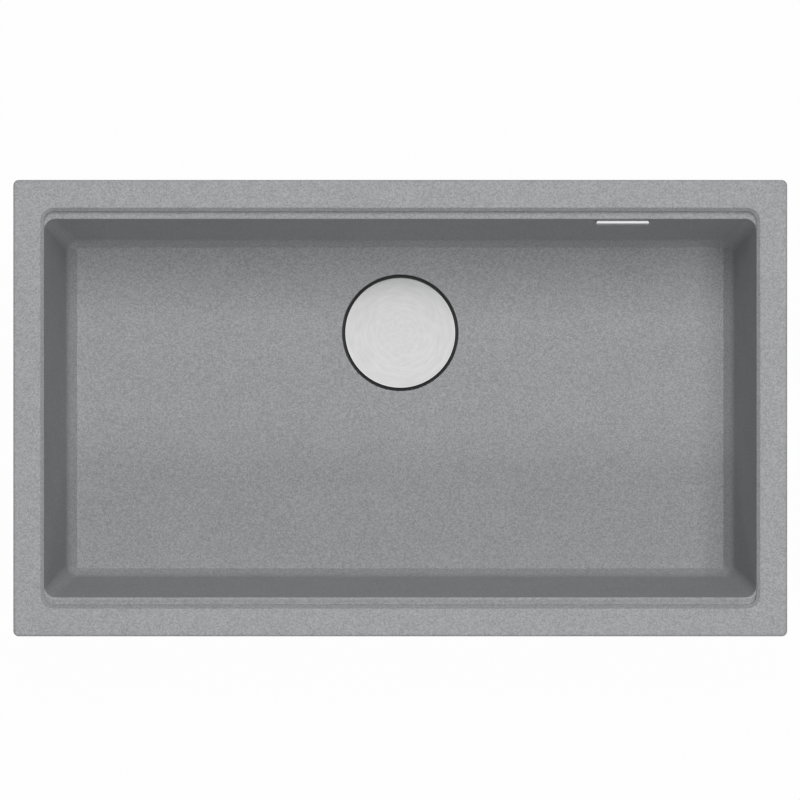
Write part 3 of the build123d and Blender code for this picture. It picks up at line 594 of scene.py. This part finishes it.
def cover_disc(sizes):
    """The drain cover: a flat crown that an arc of radius ((R - c)^2 + h^2) / 2h carries down to the edge,
    for edge radius R, crown radius c and rise h, then a rounded edge, an upright skirt with a rounded foot,
    and the same crown and arc one sheet further in below."""
    radius = (cover_high.x - cover_low.x) / 2
    crown, rise, sheet, edge = sizes.cover_crown, sizes.cover_dome, sizes.cover_sheet, sizes.cover_edge
    bow = ((radius - crown) ** 2 + rise**2) / (2 * rise)
    centre = cover_high.z - bow
    reach = radius - edge - crown
    turn = math.asin(reach / (bow - edge))
    flat = np.linspace(0, crown, 8)[:-1]
    top = np.stack([flat, np.full_like(flat, cover_high.z)], axis=-1)
    dome = ring_arc(crown, centre, bow, 90, 90 - math.degrees(turn), 18)
    bend_z = centre + (bow - edge) * math.cos(turn)
    fold = ring_arc(radius - edge, bend_z, edge, 90 - math.degrees(turn), 0, 9)[1:]
    lip = sheet / 2
    foot = ring_arc(radius - lip, cover_low.z + lip, lip, 0, -180, 8)
    inner = radius - sheet - lip
    inner_turn = math.asin((inner - crown) / (bow - sheet - lip))
    inner_z = centre + (bow - sheet - lip) * math.cos(inner_turn)
    inner_fold = ring_arc(inner, inner_z, lip, 0, 90 - math.degrees(inner_turn), 4)
    inner_dome = ring_arc(crown, centre, bow - sheet, 90 - math.degrees(inner_turn), 90, 12)[1:]
    below = np.stack([flat[::-1], np.full_like(flat, cover_high.z - sheet)], axis=-1)
    profile = np.concatenate([top, dome, fold, join_profile([foot, inner_fold]), inner_dome, below])
    return turned_piece("cover_disc", profile, COVER_STEPS)


def outlet_thread(sizes):
    """Thread round the waste outlet: a trapezium carried along a helix about the drain. Its height grows from
    nothing at one end and fades at the other."""
    pitch, tall = sizes.thread_pitch, sizes.thread_height
    turns = (sizes.outlet_length - THREAD_PLAIN) / pitch
    angle = np.linspace(0, 2 * math.pi * turns, int(turns * THREAD_STEPS))
    fade = np.clip(np.minimum(angle, angle[-1] - angle) / (math.pi / 2), 0.02, 1)
    out = np.array([THREAD_FOOT, 0.0, tall, tall, 0.0, THREAD_FOOT])
    radius = sizes.outlet_radius + np.where(out > 0, out * fade[:, None], out)
    rise = body_low.z + THREAD_START + (pitch * angle / (2 * math.pi))[:, None]
    points = np.empty((len(angle), len(out), 3))
    points[:, :, 0] = DRAIN[0] + radius * np.cos(angle)[:, None]
    points[:, :, 1] = DRAIN[1] + radius * np.sin(angle)[:, None]
    points[:, :, 2] = rise + THREAD_CORNERS * pitch
    return new_piece("outlet_thread", points, grid_faces(*points.shape[:2], False), end_faces(points))


class Weave:
    """A node tree with short calls to add and wire nodes."""

    def __init__(self, tree):
        self.tree = tree

    def add(self, kind, values=None, **settings_of_node):
        """New node with its settings, and with values or links at its inputs."""
        node = self.tree.nodes.new(kind)
        for name, value in settings_of_node.items():
            setattr(node, name, value)
        for name, value in (values or {}).items():
            self.feed(node.inputs[name], value)
        return node

    def feed(self, socket, value):
        """Links a socket to another one, or sets its value."""
        if isinstance(value, bpy.types.NodeSocket):
            self.tree.links.new(value, socket)
        else:
            socket.default_value = value

    def maths(self, operation, first, second):
        return self.add("ShaderNodeMath", {0: first, 1: second}, operation=operation).outputs[0]

    def vector(self, operation, first, second=(0, 0, 0)):
        node = self.add("ShaderNodeVectorMath", {0: first, 1: second}, operation=operation)
        return node.outputs["Value" if operation == "LENGTH" else "Vector"]

    def weigh(self, *parts):
        """Sum of values, each times its share."""
        first, *others = (self.maths("MULTIPLY", value, share) for value, share in parts)
        for other in others:
            first = self.maths("ADD", first, other)
        return first

    def blend(self, factor, first, second):
        """Colour between two colours, at the inputs that the node keeps for colours."""
        node = self.add("ShaderNodeMix", {0: factor, 6: first, 7: second}, data_type="RGBA")
        return node.outputs[2]

    def span(self, value, low, high):
        """Value from 0 to 1 carried to the span from low to high."""
        return self.add("ShaderNodeMapRange", {"Value": value, "To Min": low, "To Max": high}).outputs[0]

    def noise(self, place, scale, detail):
        values = {"Vector": place, "Scale": scale, "Detail": detail}
        return self.add("ShaderNodeTexNoise", values).outputs["Fac"]

    def bump(self, shader, height, strength, distance):
        """Gives a shader the normal of a height."""
        values = {"Height": height, "Strength": strength, "Distance": distance}
        self.feed(shader.inputs["Normal"], self.add("ShaderNodeBump", values).outputs[0])

    def plain_rays(self):
        """Mask of the rays that meet plain white: camera, glossy and transmission rays."""
        path = self.add("ShaderNodeLightPath").outputs
        seen = self.maths("MAXIMUM", path["Is Camera Ray"], path["Is Glossy Ray"])
        return self.maths("MAXIMUM", seen, path["Is Transmission Ray"])


def empty_weave(holder):
    """Weave of the emptied node tree of a material or world."""
    holder.use_nodes = True
    holder.node_tree.nodes.clear()
    return Weave(holder.node_tree)


def new_group(name, values, outputs):
    """Empty shader node group with a Vector input, an input for each named value and named outputs."""
    group = bpy.data.node_groups.new(name, "ShaderNodeTree")
    group.interface.new_socket("Vector", in_out="INPUT", socket_type="NodeSocketVector")
    for label, value in values.items():
        socket = group.interface.new_socket(label, in_out="INPUT", socket_type="NodeSocketFloat")
        socket.default_value = value
    for label in outputs:
        group.interface.new_socket(label, in_out="OUTPUT", socket_type="NodeSocketFloat")
    weave = Weave(group)
    return weave, weave.add("NodeGroupInput").outputs, weave.add("NodeGroupOutput").inputs


def turned_marks():
    """Group of fine rings left by brushing or turning: noise read at the radius, drawn out round the axis."""
    found = bpy.data.node_groups.get("turned_marks")
    if found:
        return found
    values = {"Spacing": 0.0004, "Length": 3.0}
    weave, given, out = new_group("turned_marks", values, ("Marks", "Rings", "Radius"))
    flat = weave.vector("MULTIPLY", given["Vector"], (1, 1, 0))
    radius = weave.vector("LENGTH", flat)
    weave.feed(out["Radius"], radius)
    ray = weave.add("ShaderNodeSeparateXYZ", {0: weave.vector("NORMALIZE", flat)})
    height = weave.add("ShaderNodeSeparateXYZ", {0: given["Vector"]}).outputs["Z"]
    along = weave.maths("ADD", radius, height)
    across_x = weave.maths("MULTIPLY", ray.outputs["X"], given["Length"])
    across_y = weave.maths("MULTIPLY", ray.outputs["Y"], given["Length"])
    for label, coarse, detail in (("Marks", 1.0, 4.0), ("Rings", 6.0, 2.0)):
        lines = weave.maths("DIVIDE", along, weave.maths("MULTIPLY", given["Spacing"], coarse))
        place = weave.add("ShaderNodeCombineXYZ", {"X": lines, "Y": across_x, "Z": across_y})
        weave.feed(out[label], weave.noise(place.outputs[0], 1.0, detail))
    return weave.tree


def moulded_skin():
    """Group of a moulded surface: fine spark-eroded grain and slow waves of sheen."""
    found = bpy.data.node_groups.get("moulded_skin")
    if found:
        return found
    weave, given, out = new_group("moulded_skin", {"Grain": 0.0006, "Waves": 0.03}, ("Grain", "Waves"))
    for label, detail in (("Grain", 3.0), ("Waves", 2.0)):
        scale = weave.maths("DIVIDE", 1.0, given[label])
        weave.feed(out[label], weave.noise(given["Vector"], scale, detail))
    return weave.tree


def new_material(name):
    """Material with a Principled shader, its weave, its shader and its Object coordinates."""
    material = bpy.data.materials.new(name)
    weave = empty_weave(material)
    shader = weave.add("ShaderNodeBsdfPrincipled")
    weave.add("ShaderNodeOutputMaterial", {"Surface": shader.outputs[0]})
    return material, weave, shader, weave.add("ShaderNodeTexCoord").outputs["Object"]


def finish(name):
    """The material of that name, made on first use."""
    return bpy.data.materials.get(name) or FINISHES[name](name)


def shaded(colour, share):
    """Colour made lighter or darker by a share, as four numbers."""
    return (*(min(value * share, 1.0) for value in colour), 1.0)


def stone_finish(name):
    """Granite composite: two sizes of quartz grain in a tinted resin, slow clouds, and a matte cast skin."""
    _, colours, _ = settings()
    material, weave, shader, place = new_material(name)
    grains = []
    for size in (colours.grain, colours.fine_grain):
        cells = weave.add("ShaderNodeTexVoronoi", {"Vector": place, "Scale": 1 / size})
        grains.append(weave.add("ShaderNodeSeparateColor", {0: cells.outputs["Color"]}).outputs[0])
    clouds = weave.noise(place, scale=22.0, detail=3.0)
    mix = weave.weigh((grains[0], 0.55), (grains[1], 0.3), (clouds, 0.15))
    colour = weave.blend(mix, (*colours.stone_dark, 1.0), (*colours.stone_light, 1.0))
    weave.feed(shader.inputs["Base Color"], colour)
    weave.feed(shader.inputs["Roughness"], weave.span(grains[0], 0.60, 0.76))
    shader.inputs["Specular IOR Level"].default_value = colours.stone_sheen
    weave.bump(shader, weave.noise(place, scale=900.0, detail=3.0), strength=0.12, distance=0.0003)
    return material


def metal_finish(colour_of, spacing, rough, depth, tone, polish_and_highlight=None):
    """Maker of a metal with turned marks about the drain, in its tone, roughness and bump, and with a
    smoother edge beyond the radius that the size named by its last argument gives. That edge's lower
    roughness is real polish, and its colour, 1.25 times lighter, is a painted highlight."""

    def make(name):
        sizes, colours, _ = settings()
        colour = getattr(colours, colour_of)
        material, weave, shader, place = new_material(name)
        centred = weave.add("ShaderNodeMapping", {"Vector": place, "Location": (-DRAIN[0], -DRAIN[1], 0.0)})
        inputs = {"Vector": centred.outputs[0], "Spacing": spacing}
        marks = weave.add("ShaderNodeGroup", inputs, node_tree=turned_marks()).outputs
        both = weave.weigh((marks["Marks"], 0.6), (marks["Rings"], 0.4))
        paint = weave.blend(both, shaded(colour, 1 - tone), shaded(colour, 1 + tone))
        dull = weave.span(marks["Marks"], *rough)
        if polish_and_highlight:
            # Beyond that radius the roughness is halved, which is real polish, and the colour is 1.25 times
            # lighter, which is a painted highlight.
            edge = weave.maths("GREATER_THAN", marks["Radius"], getattr(sizes, polish_and_highlight))
            paint = weave.blend(edge, paint, shaded(colour, 1.25))
            dull = weave.maths("MULTIPLY", dull, weave.span(edge, 1.0, 0.5))
        weave.feed(shader.inputs["Base Color"], paint)
        weave.feed(shader.inputs["Roughness"], dull)
        shader.inputs["Metallic"].default_value = 1.0
        weave.bump(shader, both, strength=depth, distance=0.0001)
        return material

    return make


def chrome_finish(name):
    """Polished chrome with a faint haze and slow ripples in its plating."""
    _, colours, _ = settings()
    material, weave, shader, place = new_material(name)
    haze = weave.noise(place, scale=160.0, detail=3.0)
    paint = weave.blend(haze, shaded(colours.chrome, 0.96), shaded(colours.chrome, 1.03))
    weave.feed(shader.inputs["Base Color"], paint)
    weave.feed(shader.inputs["Roughness"], weave.span(haze, 0.06, 0.14))
    shader.inputs["Metallic"].default_value = 1.0
    weave.bump(shader, haze, strength=0.05, distance=0.0002)
    return material


def plastic_finish(colour_of, grain, rough, depth, tone):
    """Maker of a moulded plastic or rubber with a fine grain and slow waves of sheen."""

    def make(name):
        _, colours, _ = settings()
        colour = getattr(colours, colour_of)
        material, weave, shader, place = new_material(name)
        inputs = {"Vector": place, "Grain": grain}
        skin = weave.add("ShaderNodeGroup", inputs, node_tree=moulded_skin()).outputs
        mottle = weave.weigh((skin["Grain"], 0.5), (skin["Waves"], 0.5))
        paint = weave.blend(mottle, shaded(colour, 1 - tone), shaded(colour, 1 + tone))
        weave.feed(shader.inputs["Base Color"], paint)
        weave.feed(shader.inputs["Roughness"], weave.span(skin["Waves"], *rough))
        weave.bump(shader, skin["Grain"], strength=depth, distance=0.0002)
        return material

    return make


# For each metal and plastic: colour, size of its marks or grain, roughness, bump and spread of tone.
FINISHES = {
    "granite_stone": stone_finish,
    # The cover's last value names the size beyond which its edge is smoother and carries a painted highlight.
    "brushed_cover_steel": metal_finish("cover_steel", 0.0006, (0.34, 0.50), 0.12, 0.24, "cover_polish_highlight"),
    "drawn_sheet_steel": metal_finish("sheet_steel", 0.00035, (0.26, 0.40), 0.08, 0.06),
    "turned_post_steel": metal_finish("turned_steel", 0.00025, (0.20, 0.34), 0.10, 0.05),
    "turned_brass": metal_finish("brass", 0.00025, (0.24, 0.38), 0.10, 0.06),
    "strip_chrome": chrome_finish,
    "seal_rubber": plastic_finish("rubber", 0.0008, (0.55, 0.72), 0.20, 0.25),
    "white_moulding": plastic_finish("white_plastic", 0.0005, (0.34, 0.48), 0.10, 0.04),
    "grey_moulding": plastic_finish("grey_plastic", 0.0005, (0.42, 0.56), 0.16, 0.08),
}
SLOT_FINISH = {
    "granite": "granite_stone",
    "brushed_cover": "brushed_cover_steel",
    "steel_sheet": "drawn_sheet_steel",
    "turned_steel": "turned_post_steel",
    "chrome": "strip_chrome",
    "brass": "turned_brass",
    "black_rubber": "seal_rubber",
    "white_plastic": "white_moulding",
    "grey_plastic": "grey_moulding",
}


def dress_nodes(names):
    """Gives CAD nodes the finish that belongs to their material slot."""
    for name in names:
        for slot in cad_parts[name].material_slots:
            slot.material = finish(SLOT_FINISH[slot.material.name])


def settle(piece, slot, body, *nodes):
    """Gives a new piece its finish in a new slot, puts it under the body that carries it, if it is only one,
    and hides the nodes it stands for."""
    piece.data.materials.clear()
    piece.data.materials.append(finish(SLOT_FINISH[slot]))
    if body:
        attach(piece, body)
    if nodes:
        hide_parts(*nodes)


def latch_coil():
    """The latch's spring as a piece: a copy of its node with the loose triangles merged."""
    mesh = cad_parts["latch_spring"].data.copy()
    mesh.name = "latch_coil"
    merged = bmesh.new()
    merged.from_mesh(mesh)
    bmesh.ops.remove_doubles(merged, verts=merged.verts, dist=1e-6)
    merged.to_mesh(mesh)
    merged.free()
    mesh.set_sharp_from_angle(angle=CREASE)
    return place_object("latch_coil", mesh)


class SINK_OT_stage(bpy.types.Operator):
    """Pale floor, white surround, softboxes and the camera straight above the sink"""

    bl_idname = "sink.stage"
    bl_label = "Stage"

    def execute(self, context):
        _, _, stage = settings()
        scene = context.scene
        scene.view_settings.view_transform = "Standard"
        self.surround(scene, stage)
        self.floor(stage)
        for name, (tilts, size, light) in SOFTBOXES.items():
            self.lamp(name, tilts, size, getattr(stage, light))
        camera = place_object("camera_above", bpy.data.cameras.new("camera_above"))
        camera.data.lens = stage.lens
        camera.data.clip_end = 60.0
        camera.location = (stage.camera_across, stage.camera_back, bowl_high.z + stage.camera_height)
        scene.camera = camera
        return {"FINISHED"}

    def surround(self, scene, stage):
        """World that gives soft light, and shows plain white to the plain rays."""
        world = bpy.data.worlds.new("studio_surround")
        weave = empty_weave(world)
        seen = weave.plain_rays()
        soft = weave.add("ShaderNodeBackground", {"Color": WHITE, "Strength": stage.ambient})
        plain = weave.add("ShaderNodeBackground", {"Color": WHITE, "Strength": 1.0})
        both = weave.add("ShaderNodeMixShader", {0: seen, 1: soft.outputs[0], 2: plain.outputs[0]})
        weave.add("ShaderNodeOutputWorld", {"Surface": both.outputs[0]})
        scene.world = world

    def floor(self, stage):
        """Pale floor that shows mostly plain white and keeps a soft shadow."""
        half, low = FLOOR_HALF, CAD_BOX[0][2] - FLOOR_GAP
        mesh = bpy.data.meshes.new("studio_floor")
        corners = [(-half, -half, low), (half, -half, low), (half, half, low), (-half, half, low)]
        mesh.from_pydata(corners, [], [(0, 1, 2, 3)])
        material = bpy.data.materials.new("studio_floor")
        weave = empty_weave(material)
        share = weave.maths("MULTIPLY", weave.plain_rays(), stage.floor_white)
        matte = weave.add("ShaderNodeBsdfDiffuse", {"Color": FLOOR_GREY})
        white = weave.add("ShaderNodeEmission", {"Color": WHITE, "Strength": 1.0})
        both = weave.add("ShaderNodeMixShader", {0: share, 1: matte.outputs[0], 2: white.outputs[0]})
        weave.add("ShaderNodeOutputMaterial", {"Surface": both.outputs[0]})
        mesh.materials.append(material)
        place_object("studio_floor", mesh)

    def lamp(self, name, tilts, size, share):
        """Softbox that points at the sink from above, tilted to the right and to the back, and stays out of
        reflections. A lamp of P watts d metres away lights a white surface that faces it to P / (pi d)^2."""
        light = bpy.data.lights.new(name, "AREA")
        light.shape = "RECTANGLE"
        light.size, light.size_y = size
        light.energy = share * (math.pi * LAMP_DISTANCE) ** 2
        lamp = place_object(name, light)
        place = np.array([*np.tan(np.radians(tilts)), 1.0])
        lamp.location = LAMP_DISTANCE * place / np.linalg.norm(place)
        lamp.rotation_euler = (-lamp.location).to_track_quat("-Z", "Y").to_euler()
        lamp.visible_camera = False
        lamp.visible_glossy = False


class SINK_OT_bowl(bpy.types.Operator):
    """The granite casting with its rim, ledges, bowl, drain well and overflow slot"""

    bl_idname = "sink.bowl"
    bl_label = "Granite bowl"

    def execute(self, context):
        sizes, _, _ = settings()
        settle(granite_bowl(sizes), "granite", "sink", "sink_bowl")
        return {"FINISHED"}


class SINK_OT_cover(bpy.types.Operator):
    """The brushed drain cover and the socket under it"""

    bl_idname = "sink.cover"
    bl_label = "Drain cover"

    def execute(self, context):
        sizes, _, _ = settings()
        settle(cover_disc(sizes), "brushed_cover", "cover", "drain_cover")
        dress_nodes(["cover_socket"])
        return {"FINISHED"}


class SINK_OT_strainer(bpy.types.Operator):
    """The strainer with its post, stopper and nut, and the latch that lifts it"""

    bl_idname = "sink.strainer"
    bl_label = "Strainer and latch"

    def execute(self, context):
        dress_nodes(["strainer_basket", "basket_post", "basket_stopper", "basket_nut"])
        dress_nodes(["latch_plunger", "latch_bolt", "latch_washer", "latch_plug"])
        coil = latch_coil()
        settle(coil, "turned_steel", None, "latch_spring")
        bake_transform(coil)
        return {"FINISHED"}


class SINK_OT_waste(bpy.types.Operator):
    """The waste under the floor: flange, gaskets and moulded body with its threaded outlet"""

    bl_idname = "sink.waste"
    bl_label = "Waste"

    def execute(self, context):
        sizes, _, _ = settings()
        dress_nodes(["waste_flange", "flange_gasket", "body_gasket", "waste_body"])
        settle(outlet_thread(sizes), "white_plastic", "sink")
        return {"FINISHED"}


class SINK_OT_overflow(bpy.types.Operator):
    """The overflow: chrome strip, housing, pipes, unions and seals"""

    bl_idname = "sink.overflow"
    bl_label = "Overflow"

    def execute(self, context):
        dress_nodes(["overflow_cover", "overflow_gasket", "overflow_housing", "overflow_screw"])
        dress_nodes(["overflow_drop_pipe", "overflow_bend", "overflow_run_pipe", "union_nuts", "union_seals"])
        return {"FINISHED"}


PIECES = (SINK_OT_stage, SINK_OT_bowl, SINK_OT_cover, SINK_OT_strainer, SINK_OT_waste, SINK_OT_overflow)


class SINK_PT_panel(bpy.types.Panel):
    """Buttons for the sink's pieces, in the order in which they are made"""

    bl_idname = "SINK_PT_panel"
    bl_label = "Granite sink"
    bl_space_type = "VIEW_3D"
    bl_region_type = "UI"
    bl_category = "Sink"

    def draw(self, context):
        for piece in PIECES:
            self.layout.operator(piece.bl_idname)


GROUPS = {"sink_sizes": SinkSizes, "sink_colours": SinkColours, "sink_stage": SinkStage}


def register():
    for name, group in GROUPS.items():
        bpy.utils.register_class(group)
        setattr(bpy.types.Scene, name, bpy.props.PointerProperty(type=group))
    for piece in (*PIECES, SINK_PT_panel):
        bpy.utils.register_class(piece)


def unregister():
    for piece in (SINK_PT_panel, *reversed(PIECES)):
        bpy.utils.unregister_class(piece)
    for name, group in GROUPS.items():
        delattr(bpy.types.Scene, name)
        bpy.utils.unregister_class(group)


def main():
    register()
    bpy.ops.sink.stage()
    bpy.ops.sink.bowl()
    bpy.ops.sink.cover()
    bpy.ops.sink.strainer()
    bpy.ops.sink.waste()
    bpy.ops.sink.overflow()


if __name__ == "__main__":
    main()
